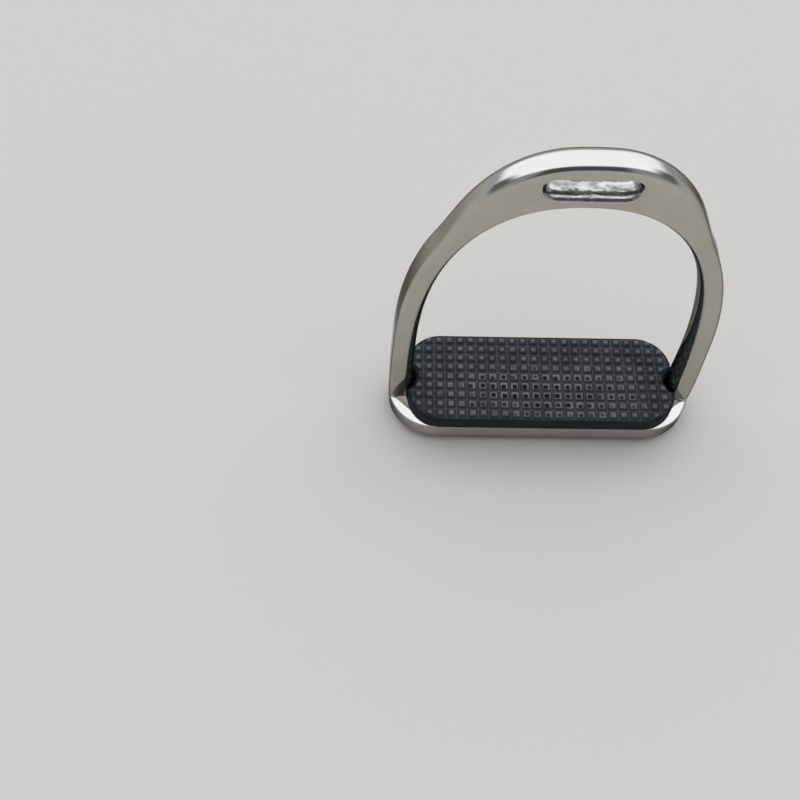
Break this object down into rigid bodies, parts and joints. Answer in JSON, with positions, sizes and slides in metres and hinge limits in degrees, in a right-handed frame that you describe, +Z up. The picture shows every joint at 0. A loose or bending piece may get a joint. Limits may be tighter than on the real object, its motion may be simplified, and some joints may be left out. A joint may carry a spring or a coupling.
{
  "type": "stirrup iron",
  "caption": "Polished steel stirrup iron with an eye for the leather in its crown and a studded rubber tread clipped through its base plate.",
  "frame": {"origin": "middle of the underside of the block below the tread, on which the iron stands", "axes": "+Z up from the tread to the eye, +X across the iron from leg to leg, +Y from front to back"},
  "size_m": [0.137, 0.0448, 0.1642],
  "materials": {
    "polished_steel": "mirror polished",
    "black_rubber": "moulded, matt"
  },
  "bodies": {
    "iron": {"iron_frame": "polished_steel"},
    "tread": {"rubber_tread": "black_rubber"}
  },
  "joints": [
    {"name": "tread_lift", "type": "slide", "parent": "iron", "child": "tread", "axis": [0, 0, 1], "range_m": [0, 0.018], "deforming": ["rubber_tread"]}
  ]
}
